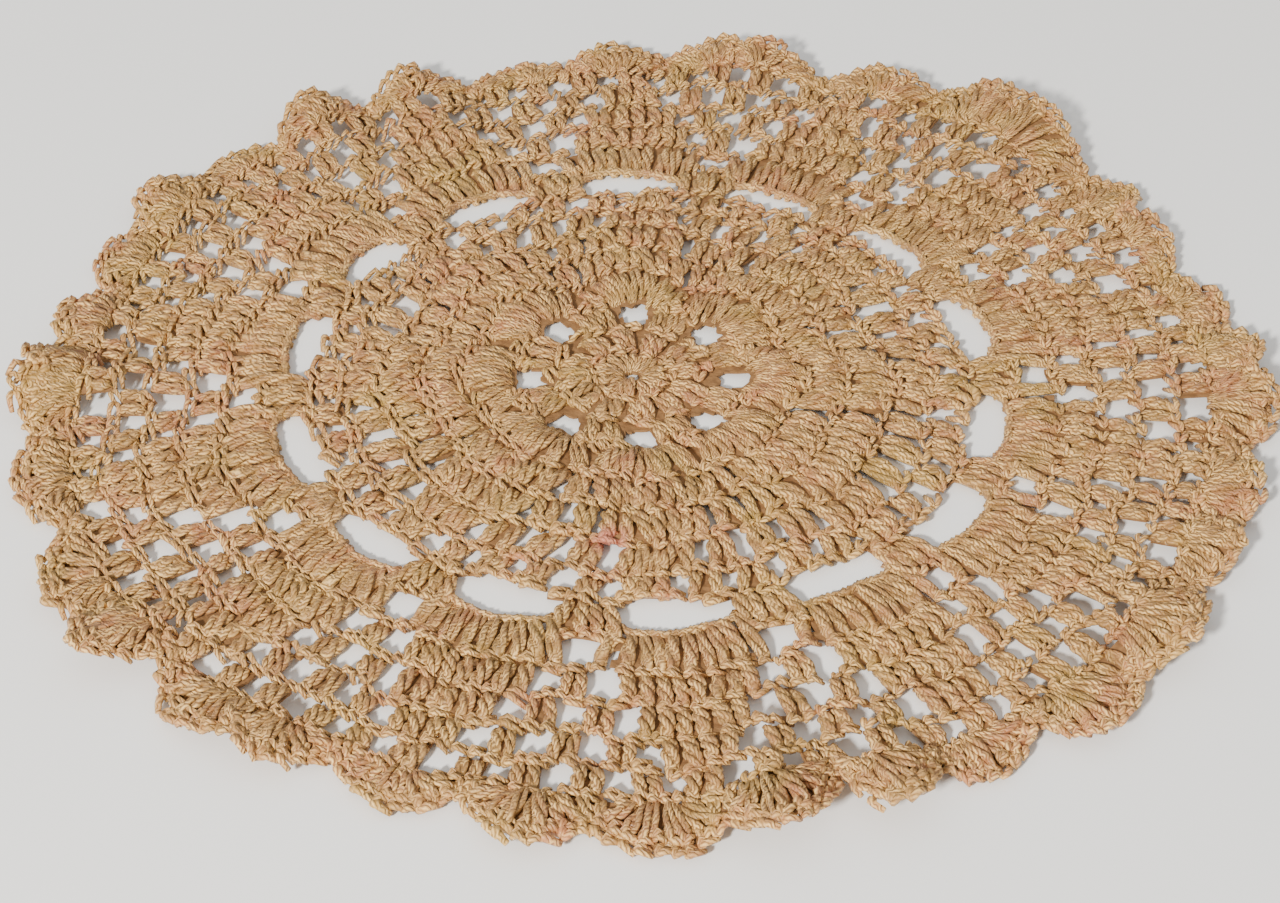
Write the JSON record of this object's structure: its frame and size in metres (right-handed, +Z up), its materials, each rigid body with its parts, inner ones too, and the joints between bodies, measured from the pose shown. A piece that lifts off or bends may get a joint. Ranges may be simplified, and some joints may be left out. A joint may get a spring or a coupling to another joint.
{
  "type": "lace doily",
  "caption": "Round crocheted lace doily with a close middle, a ring of long slots, open mesh between solid fans, and a shell edge that ruffles up.",
  "frame": {"origin": "middle of the doily's centre ring, on the underside that lies on the table", "axes": "+Z up out of the table; +X to the right and +Y away, for a person looking at the side with the deepest ruffle at the front"},
  "size_m": [0.231, 0.2336, 0.0105],
  "materials": {
    "tan_cotton": "crocheted mercerised cotton, warm tan, soft sheen along the strands"
  },
  "bodies": {
    "root": {"doily": "tan_cotton"}
  },
  "joints": []
}
